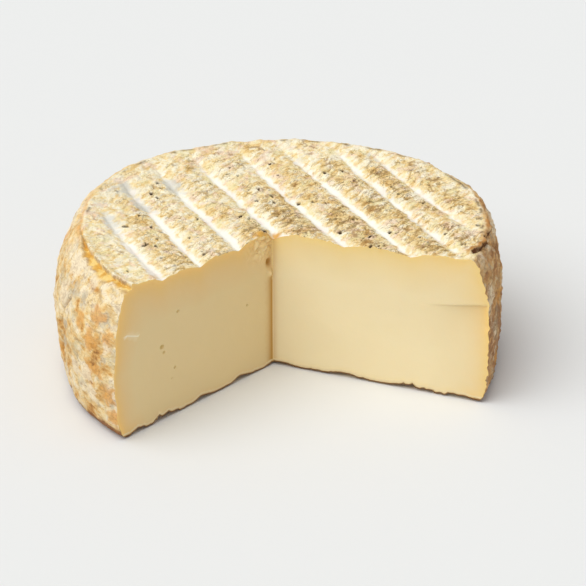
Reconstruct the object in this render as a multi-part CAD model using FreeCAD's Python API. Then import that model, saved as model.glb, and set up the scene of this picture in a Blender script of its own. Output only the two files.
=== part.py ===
import FreeCAD, Part
import math
import os

from FreeCAD import Vector

# A wheel of tomme with a wide wedge cut out of it. Millimetres and degrees, +Z up.
# While it is being shaped the wheel is placed with the point of the cut on the Z axis
# and the cut opening towards -Y. It is moved to the middle of its footprint at the end.

# Driving dimensions of the wheel.
WHEEL_RADIUS = 101.5         # mean radius at the widest height of the side
WHEEL_HEIGHT = 66.4          # at the dished middle of the top
BULGE_HEIGHT = 36.0          # height at which the side is widest
AXIS_X = 4.2                 # the axis of the round wheel, seen from the point of the cut
AXIS_Y = 0.9
WAVES = ((2, 1.4, 102), (3, 2.0, 38), (4, 1.7, 19), (5, 0.8, -6))
                             # the hand-made outline: waves around, height of each, angle of a crest
TOP_INSET = 10.7             # how far the side leans in up to the rim
TOP_LEAN = 2.6               # it leans in this much more at TOP_LEAN_ANGLE, and less opposite
TOP_LEAN_ANGLE = 127.0
BASE_INSET = 2.6             # how far it leans in down to the base
BASE_LEAN = 1.2
BASE_LEAN_ANGLE = 201.0
SIDE_POWER = 2.5             # a higher power keeps the side upright for longer
RIM_ROUND = 5.0              # rounding of the upper edge
BASE_ROUND = 4.0             # rounding of the lower edge
RIM_RISE = 4.2               # the rim stands above the dished middle
RIM_TILT = 1.7               # it rises this much more at RIM_TILT_ANGLE, and less opposite
RIM_TILT_ANGLE = 202.0

# Marks that the slats of the ageing rack pressed into the top and the base.
FURROW_ANGLE = 103.9         # direction of the furrows in plan
FURROW_OFFSETS = (84.0, 66.6, 46.1, 23.4, 2.6, -17.0, -37.2, -58.2, -72.2, -88.0)
FURROW_DEPTH = 2.2
FURROW_WIDTH = 3.0           # half width of a furrow at the top
FURROW_DRIFT = 0.7           # the furrows wander by this much to each side
PILLOW = 0.9                 # swelling of the band between two furrows
MARGIN = 12.0                # plain width inside the rim, where the furrows fade
BASE_FURROW_DEPTH = 1.0
BASE_FURROW_RADIUS = 5.0

# The cut-out and what the knife left.
CUT_LEFT = 213.6             # direction of the left cut face from the point of the cut
CUT_RIGHT = -33.4            # direction of the right cut face
CHIP_SIZE = 5.0              # the crumbled top of the cut's point
EYE_SINK = 0.3               # share of its radius by which an eye lies behind the cut
EYES = ((68.4, 36.3, 1.3), (67.6, 33.4, 0.9), (58.4, 50.0, 1.1), (16.3, 36.7, 0.8), (61.0, 23.4, 0.9))
                             # distance from the point of the cut, height and radius of each

# The crease under the overhanging rim on the left, and the crack in the rim on the right.
CREASE_FROM = 168.0
CREASE_TO = 217.0
CREASE_DROP = 3.8            # below the rim's crest
CREASE_SIZE = 2.3
CRACK_FROM = -32.0
CRACK_TO = -8.0
CRACK_DROP = 0.6
CRACK_SIZE = 1.3

# Fineness of the curves.
OUTLINE_POINTS = 36
EDGE_SHARE = 0.97            # a rounded edge stops just short of level
LOWER_LEVELS = (0, 0.15, 0.5, 1)            # levels of the loft within the lower rounding
UPPER_LEVELS = (1, 0.55, 0.25, 0.08, 0)     # and down from the top within the upper one
MIDDLE_LEVELS = 5
GROOVE_STEPS = 8
GROOVE_THIN = 0.25           # a groove's thickness at its ends, as a share of its middle
GROOVE_START = 1.0           # its ends stand this many sizes outside the side
GRID_ACROSS = 2.0            # spacing of the top's points across the furrows
GRID_ALONG = 18.0            # and along them

RIM_HEIGHT = WHEEL_HEIGHT + RIM_RISE + RIM_TILT + 1.0
REACH = WHEEL_RADIUS * 1.15
LIFT = 40.0                  # cutting tools stand this far out of the wheel


def polar(angle, radius, height):
    turn = math.radians(angle)
    return Vector(radius * math.cos(turn), radius * math.sin(turn), height)


def wave(angle, crest):
    return math.cos(math.radians(angle - crest))


def unevenness(angle):
    """How far the side stands out of a true circle, as a hand-made wheel does."""
    return sum(size * wave(count * angle, count * crest) for count, size, crest in WAVES)


def rounding(radius, past_start):
    """How far a rounded edge has drawn in at this distance past the start of its curve."""
    share = max(0.0, past_start) / radius
    return radius * (1 - math.sqrt(1 - EDGE_SHARE * share ** 2))


def lean(angle, height):
    """How far the side has drawn in at this height, with both edges rounded."""
    if height >= BULGE_HEIGHT:
        share = (height - BULGE_HEIGHT) / (RIM_HEIGHT - BULGE_HEIGHT)
        inset = TOP_INSET + TOP_LEAN * wave(angle, TOP_LEAN_ANGLE)
        return inset * share ** SIDE_POWER + rounding(RIM_ROUND, height - RIM_HEIGHT + RIM_ROUND)
    share = (BULGE_HEIGHT - height) / BULGE_HEIGHT
    inset = BASE_INSET + BASE_LEAN * wave(angle, BASE_LEAN_ANGLE)
    return inset * share ** SIDE_POWER + rounding(BASE_ROUND, BASE_ROUND - height)


def side_radius(angle, height):
    return WHEEL_RADIUS + unevenness(angle) - lean(angle, height)


def top_edge(angle):
    """Height of the rim's crest."""
    return WHEEL_HEIGHT + RIM_RISE + RIM_TILT * wave(angle, RIM_TILT_ANGLE)


def on_side(angle, height, outwards=0.0):
    point = polar(angle, side_radius(angle, height) + outwards, height)
    return point + Vector(AXIS_X, AXIS_Y, 0)


def section(height):
    angles = [360 * i / OUTLINE_POINTS for i in range(OUTLINE_POINTS)]
    curve = Part.BSplineCurve()
    steps = [i / OUTLINE_POINTS for i in range(OUTLINE_POINTS + 1)]
    curve.interpolate(Points=[on_side(a, height) for a in angles], PeriodicFlag=True, Parameters=steps)
    return Part.Wire([curve.toShape()])


def barrel():
    """The round wheel before its top is shaped, as a loft through level outlines."""
    lower = [BASE_ROUND * share for share in LOWER_LEVELS]
    upper = [RIM_HEIGHT - RIM_ROUND * share for share in UPPER_LEVELS]
    rise = (upper[0] - lower[-1]) / (MIDDLE_LEVELS + 1)
    middle = [lower[-1] + rise * (i + 1) for i in range(MIDDLE_LEVELS)]
    return Part.makeLoft([section(height) for height in lower + middle + upper], True, False)


def smooth(share):
    share = min(1.0, max(0.0, share))
    return share * share * (3 - 2 * share)


def furrow_relief(across, along):
    """Height against the smooth dish: valleys at the furrows and pillows between them."""
    drifted = [offset + FURROW_DRIFT * math.sin(along / 30 + 1.7 * i) for i, offset in enumerate(FURROW_OFFSETS)]
    gaps = [abs(across - offset) for offset in drifted]
    valley = FURROW_DEPTH * math.exp(-(min(gaps) / FURROW_WIDTH) ** 2)
    left = [offset for offset in drifted if offset > across]
    right = [offset for offset in drifted if offset <= across]
    if not left or not right:
        return -valley
    share = (min(left) - across) / (min(left) - max(right))
    return PILLOW * (1 - (2 * share - 1) ** 2) - valley


def top_height(across, along):
    """Height of the top at a place given across and along the furrows from the wheel's axis."""
    angle = FURROW_ANGLE + 90 - math.degrees(math.atan2(along, across))
    distance = math.hypot(across, along)
    edge = side_radius(angle, RIM_HEIGHT - RIM_ROUND)
    rise = top_edge(angle) - WHEEL_HEIGHT
    dish = WHEEL_HEIGHT + rise * min(1.0, distance / edge) ** 4
    fade = smooth((edge - distance) / MARGIN)
    return dish + fade * furrow_relief(across, along)


def steps_over(length, pitch):
    count = 2 * math.ceil(length / pitch)
    return [length * (2 * i / count - 1) for i in range(count + 1)]


def above_top():
    """All that lies over the dished and furrowed top, as a solid to cut away."""
    along_way = polar(FURROW_ANGLE, 1, 0)
    across_way = polar(FURROW_ANGLE + 90, 1, 0)
    rows = []
    for across in steps_over(REACH, GRID_ACROSS):
        row = []
        for along in steps_over(REACH, GRID_ALONG):
            place = Vector(AXIS_X, AXIS_Y, top_height(across, along))
            row.append(place + across_way * across + along_way * along)
        rows.append(row)
    surface = Part.BSplineSurface()
    surface.interpolate(rows)
    return surface.toShape().extrude(Vector(0, 0, LIFT))


def base_furrows():
    along_way = polar(FURROW_ANGLE, 1, 0)
    across_way = polar(FURROW_ANGLE + 90, 1, 0)
    drop = BASE_FURROW_RADIUS - BASE_FURROW_DEPTH
    rods = []
    for offset in FURROW_OFFSETS:
        start = Vector(AXIS_X, AXIS_Y, -drop) + across_way * offset - along_way * REACH
        rods.append(Part.makeCylinder(BASE_FURROW_RADIUS, 2 * REACH, start, along_way))
    return rods


def cut_out():
    """The wedge that was taken out, as a prism from the point of the cut."""
    corners = [Vector(0, 0, -LIFT)]
    corners.append(polar(CUT_LEFT, 2 * REACH, -LIFT))
    corners.append(polar(CUT_RIGHT, 2 * REACH, -LIFT))
    outline = Part.makePolygon(corners + corners[:1])
    return Part.Face(outline).extrude(Vector(0, 0, RIM_HEIGHT + 2 * LIFT))


def groove(start, end, drop, size):
    """A round-bottomed groove along the rim that is deepest at its middle and runs out at both ends."""
    rings = []
    for i in range(GROOVE_STEPS + 1):
        share = i / GROOVE_STEPS
        angle = start + (end - start) * share
        swell = math.sin(math.pi * share)
        centre = on_side(angle, top_edge(angle) - drop, GROOVE_START * size * (1 - swell))
        ring = Part.Circle(centre, polar(angle + 90, 1, 0), size * (GROOVE_THIN + (1 - GROOVE_THIN) * swell))
        rings.append(Part.Wire([ring.toShape()]))
    return Part.makeLoft(rings, True, False)


def eyes():
    """Small round holes in the left cut face."""
    inwards = polar(CUT_LEFT - 90, 1, 0)
    balls = []
    for distance, height, radius in EYES:
        centre = polar(CUT_LEFT, distance, height) + inwards * (EYE_SINK * radius)
        balls.append(Part.makeSphere(radius, centre, inwards))
    return balls


def crumbled_point():
    """The bit broken off at the top of the cut's point, as a box on its edge."""
    low = Vector(-CHIP_SIZE / 2, -CHIP_SIZE / 2, -CHIP_SIZE / 2)
    chip = Part.makeBox(CHIP_SIZE, CHIP_SIZE, CHIP_SIZE, low)
    chip.rotate(Vector(0, 0, 0), Vector(1, 0.4, 0.2), 40)
    chip.translate(Vector(0, 0, WHEEL_HEIGHT - CHIP_SIZE / 2))
    return chip


def cheese_wheel():
    wheel = barrel().cut(above_top())
    wheel = wheel.cut(base_furrows())
    wheel = wheel.cut(groove(CREASE_FROM, CREASE_TO, CREASE_DROP, CREASE_SIZE))
    wheel = wheel.cut(groove(CRACK_FROM, CRACK_TO, CRACK_DROP, CRACK_SIZE))
    wheel = wheel.cut(cut_out())
    wheel = wheel.cut(eyes() + [crumbled_point()])
    box = wheel.optimalBoundingBox(False, False)
    wheel.translate(Vector(-box.Center.x, -box.Center.y, -box.ZMin))
    return wheel


os.makedirs("parts", exist_ok=True)
shape = cheese_wheel()
box = shape.optimalBoundingBox(False, False)
print("solids", len(shape.Solids), "valid", shape.isValid(), "volume", round(shape.Volume / 1000, 1), "ml")
print("size", round(box.XLength, 2), round(box.YLength, 2), round(box.ZLength, 2))
shape.Solids[0].exportStep("parts/cheese_wheel.step")
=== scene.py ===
import math

import bmesh
import bpy
import numpy as np
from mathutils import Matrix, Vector, noise
from mathutils.geometry import delaunay_2d_cdt


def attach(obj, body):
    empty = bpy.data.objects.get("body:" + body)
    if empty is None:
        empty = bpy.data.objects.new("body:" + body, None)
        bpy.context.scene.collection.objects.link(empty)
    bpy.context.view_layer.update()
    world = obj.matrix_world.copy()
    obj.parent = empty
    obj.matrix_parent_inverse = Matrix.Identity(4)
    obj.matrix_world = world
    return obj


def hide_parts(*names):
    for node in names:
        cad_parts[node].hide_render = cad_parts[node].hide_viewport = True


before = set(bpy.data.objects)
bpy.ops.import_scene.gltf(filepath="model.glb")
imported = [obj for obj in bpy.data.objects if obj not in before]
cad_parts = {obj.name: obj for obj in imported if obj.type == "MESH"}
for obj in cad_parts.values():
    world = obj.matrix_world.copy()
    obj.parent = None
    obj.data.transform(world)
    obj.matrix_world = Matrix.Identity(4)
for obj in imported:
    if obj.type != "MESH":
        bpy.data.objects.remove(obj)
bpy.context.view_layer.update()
chance = np.random.default_rng(11)
print("frame loaded")

# The wheel's form, in millimetres and degrees from the point of the cut, where both cut faces meet.
wheel = {
    "cutPoint": (-4.255, -23.145),   # where that point stands in the frame
    "axis": (4.2, 0.9),   # the round wheel's own axis
    "radius": 101.5,
    "height": 66.4,   # at the dished middle
    "dishPower": 4,
    "bulgeHeight": 36.0,
    "topHeight": 73.3,
    "waves": ((2, 1.4, 102), (3, 2.0, 38), (4, 1.7, 19), (5, 0.8, -6)),
    "topInset": (10.7, 2.6, 127.0),  # how far the side leans in, how much that varies, where most
    "baseInset": (2.6, 1.2, 201.0),
    "sidePower": 2.5,
    "rimRound": 2.8,
    "baseRound": 4.0,
    "rimRise": (4.4, 1.7, 202.0),
    "cutLeft": 213.6,
    "cutRight": -33.4,
    "pointDepth": 2.6,   # the top has crumbled at the point of the cut
    "pointReach": 2.6,
}

# Spacing of the mesh, millimetres.
spacing = {
    "top": 0.78,
    "topFine": 0.42,
    "finePit": 0.7,   # how far the fine part reaches past a pit
    "fineCrack": 3.2,   # in from the rim at the crack
    "fineLip": 1.6,   # in from the rim at the lip
    "finePoint": 5,   # from the point of the cut
    "sideNear": 0.66,   # the parts of the side next to the cut
    "sideFar": 1.35,
    "sideRows": 0.98,
    "baseTurns": 7,   # rows round the lower edge
    "baseTurn": 13,   # degrees between them
    "rimTurns": 12,   # rows round the rim
    "base": 2.3,
    "cut": 1.9,
    "cutRows": (0.4, 0.85, 1.4, 2.1, 3.0),   # rows of points along the outline of a cut face
    "torn": 0.6,   # the torn paste near the point
    "edge": 0.8,
    "jitter": 0.13,   # share of the spacing by which points are moved at random
    "corner": 90,   # parts of the upright edge where the cuts meet
}


def wave(angle, crest):
    return np.cos(np.radians(angle - crest))


def smooth(value, low, high):
    share = np.clip((value - low) / (high - low), 0, 1)
    return share * share * (3 - 2 * share)


def bump(value, middle, spread):
    return np.exp(-((value - middle) / spread) ** 2)


def blob(spots, middle, spread):
    return bump(spots[:, 0], middle[0], spread[0]) * bump(spots[:, 1], middle[1], spread[1])


def row(x, y=0, z=0):
    return np.stack([x, x * 0 + y, x * 0 + z], axis=1)


def noiseAt(points, size, seed, octaves=1):
    places = (np.asarray(points) / size + (seed * 7.31, seed * -3.77, seed * 5.13)).tolist()
    if octaves == 1:
        return np.array([noise.noise(place) for place in places])
    return np.array([noise.fractal(place, 1.0, 2.0, octaves) for place in places])


def cellsAt(points, size, seed):
    drift = 0.45 * size
    warp = np.stack([noiseAt(points, size * 1.4, seed + k) for k in range(3)], axis=1) * drift
    places = ((points + warp) / size + (seed * 3.17, seed * -1.93, seed * 2.71)).tolist()
    gap, tone = [], []
    for place in places:
        ways, centres = noise.voronoi(place)
        gap.append(ways[1] - ways[0])
        tone.append(math.sin(centres[0].dot((12.9, 78.2, 37.7))) * 437.5 % 1)
    return np.array(gap), np.array(tone)


def direction(angle):
    turn = np.radians(angle)
    return np.stack([np.cos(turn), np.sin(turn)], axis=-1)


def aboutAxis(x, y):
    x, y = x - wheel["axis"][0], y - wheel["axis"][1]
    angle = (np.degrees(np.arctan2(y, x)) + 90) % 360 - 90
    return angle, np.hypot(x, y)


def distanceTo(points, line):
    nearest = np.full(len(points), 1e9)
    for start, end in zip(line[:-1], line[1:]):
        way = end - start
        share = np.clip(((points - start) @ way) / max(way @ way, 1e-12), 0, 1)
        nearest = np.minimum(nearest, np.linalg.norm(points - start - share[:, None] * way, axis=1))
    return nearest


def inside(points, loop):
    within = np.zeros(len(points), bool)
    for start, end in zip(loop, np.roll(loop, -1, axis=0)):
        crosses = (start[1] > points[:, 1]) != (end[1] > points[:, 1])
        rise = end[1] - start[1] if end[1] != start[1] else 1e-12
        within ^= crosses & (points[:, 0] < (end[0] - start[0]) * (points[:, 1] - start[1]) / rise + start[0])
    return within


def closedLine(loop):
    return np.concatenate([loop, loop[:1]])


def lattice(loop, pitch):
    low, high, jitter = loop.min(axis=0), loop.max(axis=0), spacing["jitter"]
    x = np.arange(low[0], high[0], pitch)
    y = np.arange(low[1], high[1], pitch * 0.866)
    grid = np.stack(np.meshgrid(x, y), axis=-1)
    grid[1::2, :, 0] += pitch / 2
    grid = grid.reshape(-1, 2) + chance.uniform(-jitter, jitter, (grid.shape[0] * grid.shape[1], 2)) * pitch
    grid = grid[inside(grid, loop)]
    return grid[distanceTo(grid, closedLine(loop)) > 0.6 * pitch]


def fill(loop, inner):
    places = np.concatenate([loop, inner])
    vectors = [Vector(p) for p in places.tolist()]
    result = delaunay_2d_cdt(vectors, [], [list(range(len(loop)))], 1, 1e-7, True)
    origin = [ids[0] for ids in result[3]]
    faces = np.array([[origin[i] for i in face] for face in result[2]])
    faces = faces[inside(places[faces].mean(axis=1), loop)]
    a, b, c = places[faces[:, 0]], places[faces[:, 1]], places[faces[:, 2]]
    turn = (b[:, 0] - a[:, 0]) * (c[:, 1] - a[:, 1]) - (b[:, 1] - a[:, 1]) * (c[:, 0] - a[:, 0])
    faces[turn < 0] = faces[turn < 0][:, ::-1]
    return faces


# The torn lip of the top rind on the left. Below it lies a ledge that the torn rind left bare.
lip = {
    "middle": 197.0,
    "rounding": 1.5,   # of the rim there
    "bulge": 1.5,   # the rounding grows by this much in the middle
    "depth": 1.9,
    "width": 3.6,   # of the bare ledge
    "begins": (168, 180),   # the angles over which it opens
    "roundingBegins": (166, 178),
}


def rimCrest(angle):
    rise, tilt, most = wheel["rimRise"]
    return wheel["height"] + rise + tilt * wave(angle, most)


def sideRadius(angle, height):
    waves = sum(size * wave(count * angle, count * crest) for count, size, crest in wheel["waves"])
    radius = wheel["radius"] + waves
    up = np.clip((height - wheel["bulgeHeight"]) / (wheel["topHeight"] - wheel["bulgeHeight"]), 0, 2)
    down = np.clip((wheel["bulgeHeight"] - height) / wheel["bulgeHeight"], 0, 2)
    for share, (inset, lean, most) in ((up, wheel["topInset"]), (down, wheel["baseInset"])):
        radius = radius - (inset + lean * wave(angle, most)) * share ** wheel["sidePower"]
    return radius


def rimRounding(angle):
    line = row(angle * 1.7)
    wander = 0.9 * noiseAt(line, 9.0, 3) + 0.5 * noiseAt(line, 4.0, 4)
    torn = smooth(angle, *lip["roundingBegins"])
    plain = wheel["rimRound"] + 0.6 * bump(angle, -24, 22) + 0.5 * wander
    return plain * (1 - torn) + (lip["rounding"] + lip["bulge"] * bump(angle, 194, 10) + 0.35 * wander) * torn


def ringRadius(angle):
    return sideRadius(angle, rimCrest(angle)) - rimRounding(angle)


def dish(x, y):
    angle, distance = aboutAxis(x, y)
    edge = ringRadius(angle)
    rise = np.minimum(1, distance / edge) ** wheel["dishPower"]
    return wheel["height"] + (rimCrest(angle) - wheel["height"]) * rise


def sideColumns():
    angles = [wheel["cutRight"]]
    while angles[-1] < wheel["cutLeft"]:
        far = smooth(angles[-1], 2, 10) * (1 - smooth(angles[-1], 144, 152))
        step = spacing["sideNear"] + (spacing["sideFar"] - spacing["sideNear"]) * far
        angles.append(angles[-1] + math.degrees(step / wheel["radius"]))
    angles = np.array(angles)
    span = wheel["cutLeft"] - wheel["cutRight"]
    return wheel["cutRight"] + (angles - angles[0]) * span / (angles[-1] - angles[0])


# The side is a grid. Its columns stand round the point of the cut, so that the first and the last of them
# lie in the cut faces.
def sideGrid():
    columns = sideColumns()
    lower = [(math.radians(90 - spacing["baseTurn"] * i), 0, 0) for i in range(spacing["baseTurns"])]
    count = round((wheel["height"] - wheel["baseRound"]) / spacing["sideRows"])
    middle = [(0, i / count, 0) for i in range(count)]
    upper = [(0, 1, math.radians(90 * i / (spacing["rimTurns"] - 1))) for i in range(spacing["rimTurns"])]
    rows = np.array(lower + middle + upper)
    beneath, share, above = rows[None, :, 0], rows[None, :, 1], rows[None, :, 2]
    way = direction(columns)[:, None, :]
    axis = np.array(wheel["axis"])
    reach = way @ axis
    length = np.full((len(columns), len(rows)), wheel["radius"])
    for attempt in range(8):
        angle = aboutAxis(length * way[..., 0], length * way[..., 1])[0]
        if attempt in (0, 3, 7):
            rounding = rimRounding(angle.ravel()).reshape(angle.shape)
        span = rimCrest(angle) - rounding - wheel["baseRound"]
        height = wheel["baseRound"] * (1 - np.sin(beneath)) + share * span + rounding * np.sin(above)
        draw = wheel["baseRound"] * (1 - np.cos(beneath)) + rounding * (1 - np.cos(above))
        radius = sideRadius(angle, height) - draw
        length = reach + np.sqrt(reach ** 2 - axis @ axis + radius ** 2)
    return beneath, np.concatenate([length[..., None] * way, height[..., None]], axis=-1)


# Marks of the rack. Offsets run from left to right across the wheel, as seen with the cut in front.
furrows = {
    "angle": 103.9,
    "offsets": (84.0, 66.6, 46.1, 24.8, 2.1, -18.6, -38.7, -57.8, -73.2, -88.0),
    "leans": (0.0, 0.0, 0.0, 0.0, 0.035, 0.027, 0.025, -0.02, 0.02, 0.0),   # sideways for each one along
    "strength": (0.5, 0.8, 1.0, 1.0, 1.0, 1.0, 1.0, 0.9, 0.7, 0.4),
    "white": (0.7, 0.8, 0.95, 1.0, 0.97, 0.94, 0.88, 0.8, 0.65, 0.35),
    # A band's brown is partly painted shade of its bank that turns away from the lamp.
    "brown": (-0.3, -0.2, 0.3, 0.25, 0.4, 0.65, 0.8, 0.75, 0.6, 0.5, 0.4),   # of the bands they part
    "depth": 0.95,
    "steepBank": 4.1,   # width of the bank on a furrow's left
    "softBank": 4.4,   # and on its right
    "wander": 1.25,   # raggedness of the banks
    "drift": 0.7,
    "pillow": 1.15,   # swelling of a band
    "margin": 13.0,   # plain width inside the rim, where the furrows fade
    "baseDepth": 1.5,
    "baseWidth": 4.2,
}


def alongFurrows(x, y):
    x, y = x - wheel["axis"][0], y - wheel["axis"][1]
    way = direction(furrows["angle"])
    return x * -way[1] + y * way[0], x * way[0] + y * way[1]


def furrowCentres(along):
    centres = []
    for i, (offset, lean) in enumerate(zip(furrows["offsets"], furrows["leans"])):
        centres.append(offset + lean * along + furrows["drift"] * np.sin(along / 30 + 1.7 * i))
    return np.array(centres)


def furrowGap(across, along):
    places = row(across, along)
    wander = furrows["wander"] * (noiseAt(places, 5.5, 51, 2) + 0.5 * noiseAt(places, 2.6, 52))
    return across - furrowCentres(along) + wander


def furrowShape(across, along, steep, soft):
    gap = furrowGap(across, along)
    width = np.where(gap > 0, steep, soft)
    strength = np.array(furrows["strength"])[:, None]
    return (strength * np.exp(-(np.abs(gap) / width) ** 2)).max(axis=0)


# Where a point lies between two furrows, from 0 at the left one to 1.
def bandShare(across, along):
    centres = furrowCentres(along)
    before = (centres > across).sum(axis=0)
    known = (before > 0) & (before < len(centres))
    spot = np.arange(len(across))
    left = centres[np.clip(before - 1, 0, len(centres) - 1), spot]
    right = centres[np.clip(before, 0, len(centres) - 1), spot]
    share = np.where(known, (left - across) / np.where(known, left - right, 1), 0.5)
    return share, known


# Pits in the top, on the bands between the furrows. The large ones are given by across, along and radius.
pits = {
    "count": 80,
    "tries": 900,
    "reach": 85,   # where the tries are made
    "within": 82,   # from the middle
    "bank": 4.5,   # width of the furrows that they keep off
    "radius": (0.4, 0.95),
    "depth": (0.4, 1.1),
    "large": (
        (61.9, 29.4, 1.3), (48.4, 21.8, 1.2), (60.2, 11.4, 1.2), (61.4, 9.6, 1.1), (48.8, -1.4, 1.1),
        (38.3, 55.7, 1.2), (30.7, 63.8, 1.1), (28.2, 27.2, 1.0), (8.0, 16.4, 1.3), (6.8, 3.6, 1.3),
        (-22.3, -13.2, 1.1), (-34.2, -4.8, 1.2), (-19.6, 21.8, 1.0), (-48.1, 6.1, 1.2), (-32.3, 4.1, 0.9),
        (-62.4, 66.3, 1.4), (-82.3, -32.6, 1.3), (-42.4, -22.5, 1.0), (-78.1, -38.1, 1.1), (-68.1, -6.1, 1.0),
    ),
    "largeDepth": 1.1,   # for each millimetre of radius
}


def pitPlaces():
    tries = pits["tries"]
    across = chance.uniform(-pits["reach"], pits["reach"], tries)
    along = chance.uniform(-pits["reach"], pits["reach"], tries)
    share = bandShare(across, along)[0]
    shape = furrowShape(across, along, pits["bank"], pits["bank"])
    kept = chance.uniform(0, 1, tries) < 0.25 + 0.75 * share
    kept &= (shape < 0.35) & (np.hypot(across, along) < pits["within"])
    spots = np.stack([across, along], axis=1)[kept][:pits["count"]]
    sizes = chance.uniform(*pits["radius"], len(spots))
    depths = chance.uniform(*pits["depth"], len(spots))
    large = np.array(pits["large"])
    return (np.concatenate([spots, large[:, :2]]), np.concatenate([sizes, large[:, 2]]),
            np.concatenate([depths, pits["largeDepth"] * large[:, 2]]))


beneath, side = sideGrid()
columnCount, rowCount = side.shape[:2]
sideIds = np.arange(columnCount * rowCount).reshape(columnCount, rowCount)
pitSpots, pitSizes, pitDepths = pitPlaces()
points = [side.reshape(-1, 3)]
print("side grid", columnCount, "by", rowCount)


def addPoints(more):
    total = sum(len(part) for part in points)
    points.append(more)
    return np.arange(total, total + len(more))


def edgeLine(corner):
    count = round(math.hypot(corner[0], corner[1]) / spacing["edge"])
    share = 1 - np.arange(1, count) / count
    return row(share * corner[0], share * corner[1])


def needsFine(spots):
    across, along = alongFurrows(spots[:, 0], spots[:, 1])
    angle, distance = aboutAxis(spots[:, 0], spots[:, 1])
    close = np.zeros(len(spots), bool)
    for (a, b), size in zip(pitSpots, pitSizes):
        close |= (across - a) ** 2 + (along - b) ** 2 < (size + spacing["finePit"]) ** 2
    inward = ringRadius(angle) - distance
    close |= (inward < spacing["fineCrack"]) & (bump(angle, -20, 14) > 0.4)
    close |= (inward < spacing["fineLip"]) & (bump(angle, lip["middle"], 18) > 0.4)
    close |= np.hypot(spots[:, 0], spots[:, 1]) < spacing["finePoint"]
    return close


def topSpots(loop):
    coarse = lattice(loop, spacing["top"])
    fine = lattice(loop, spacing["topFine"])
    return np.concatenate([coarse[~needsFine(coarse)], fine[needsFine(fine)]])


# The top or the base: a flat fill between the side's last row and the two lines that the cuts make.
def fillFlat(ringRow, chooseSpots):
    right = addPoints(edgeLine(side[0, ringRow]))
    left = addPoints(edgeLine(side[-1, ringRow]))
    apex = addPoints(np.zeros((1, 3)))
    loopIds = np.concatenate([sideIds[:, ringRow], left, apex, right[::-1]])
    loop = np.concatenate(points)[loopIds][:, :2]
    inner = chooseSpots(loop)
    innerIds = addPoints(row(inner[:, 0], inner[:, 1]))
    faces = np.concatenate([loopIds, innerIds])[fill(loop, inner)]
    return faces, right, left, apex, innerIds


topFaces, topRight, topLeft, topApex, topInner = fillFlat(-1, topSpots)
baseFaces, baseRight, baseLeft, baseApex, baseInner = fillFlat(0, lambda loop: lattice(loop, spacing["base"]))
baseFaces = baseFaces[:, ::-1]
topIds = np.concatenate([topRight, topLeft, topApex, topInner])
baseIds = np.concatenate([baseRight, baseLeft, baseApex, baseInner])
form = np.concatenate(points)
form[topIds, 2] = dish(form[topIds, 0], form[topIds, 1])
quads = np.stack([sideIds[:-1, :-1], sideIds[1:, :-1], sideIds[1:, 1:], sideIds[:-1, 1:]], axis=-1)
quads = quads.reshape(-1, 4)
rindFaces = np.concatenate([topFaces, baseFaces, quads[:, [0, 1, 2]], quads[:, [0, 2, 3]]])
print("top", len(topFaces), "base", len(baseFaces), "side", 2 * len(quads), "triangles")


def vertexNormals(places, faces):
    a, b, c = places[faces[:, 0]], places[faces[:, 1]], places[faces[:, 2]]
    faceNormals = np.cross(b - a, c - a)
    normals = np.zeros_like(places)
    for i in range(3):
        np.add.at(normals, faces[:, i], faceNormals)
    return normals / np.maximum(np.linalg.norm(normals, axis=1, keepdims=True), 1e-9)


# Where each point of the rind lies.
angle, distance = aboutAxis(form[:, 0], form[:, 1])
across, along = alongFurrows(form[:, 0], form[:, 1])
height = form[:, 2]
arc = np.radians(angle) * wheel["radius"]
steps = np.linalg.norm(np.diff(side, axis=1), axis=2)
past = np.zeros(len(form))   # how far down the rim's curve from the level top, less than 0 on the top
past[sideIds[:, :-1]] = np.cumsum(steps[:, ::-1], axis=1)[:, ::-1]
past[topIds] = distance[topIds] - ringRadius(angle[topIds])
past[baseIds] = 90
onBase = np.zeros(len(form))
onBase[baseIds] = 1
onBase[sideIds[:, :spacing["baseTurns"]]] = np.sin(beneath[:, :spacing["baseTurns"]]) ** 2
sideShare = smooth(past, -5, 5) * (1 - onBase)
topShare = 1 - smooth(past, -5, 5)
torn = smooth(angle, *lip["begins"])
rimLine = row(arc)
places = row(across, along, height)


# The cracked rim on the right: angles and distances from the axis, and heights for its branch.
crack = {
    "line": ((-29.5, 86.0), (-28.0, 87.6), (-26.0, 89.3), (-23.6, 90.6), (-21.7, 91.0), (-20.2, 89.7),
             (-17.8, 90.3), (-14.8, 91.9), (-11.7, 92.7), (-7.7, 92.3), (-3.0, 92.8)),
    "branch": ((-22.0, 91.0, 69.3), (-18.6, 93.0, 65.5), (-13.8, 95.4, 60.0), (-11.0, 97.0, 55.0)),
    "step": 1.25,   # how far the outer side has sunk
    "curl": 0.85,   # and the inner side curls up
    "branchDepth": 1.1,
    "begins": (-32, -28.5),   # the angles over which it opens
    "ends": (-7, 3),
    "pocketEnds": (-23.5, -20),   # it is widest before these
}

nearCrack = (np.abs(angle + 16) < 22) & (distance > 78) & (height > 48)   # the others stay as they are
crackForm = form[nearCrack]
ragged = 0.55 * noiseAt(crackForm, 1.6, 24)
crackRadius = np.interp(angle, *np.array(crack["line"]).T)
crackOut = np.full(len(form), -99.0)   # how far outside the crack a point lies
crackOut[nearCrack] = (distance - crackRadius)[nearCrack] + 0.8 * ragged + 0.9 * noiseAt(crackForm, 2.6, 27)
crackReach = smooth(angle, *crack["begins"]) * (1 - smooth(angle, *crack["ends"]))
pocketShare = 1 - smooth(angle, *crack["pocketEnds"])
branchWay = np.full(len(form), 99.0)
branchLine = np.array([(*(direction(a) * r + wheel["axis"]), h) for a, r, h in crack["branch"]])
crackPlaces = crackForm + 0.8 * np.stack([noiseAt(crackForm, 3.0, seed) for seed in (21, 22, 23)], axis=1)
branchWay[nearCrack] = distanceTo(crackPlaces, branchLine) + ragged


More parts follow.
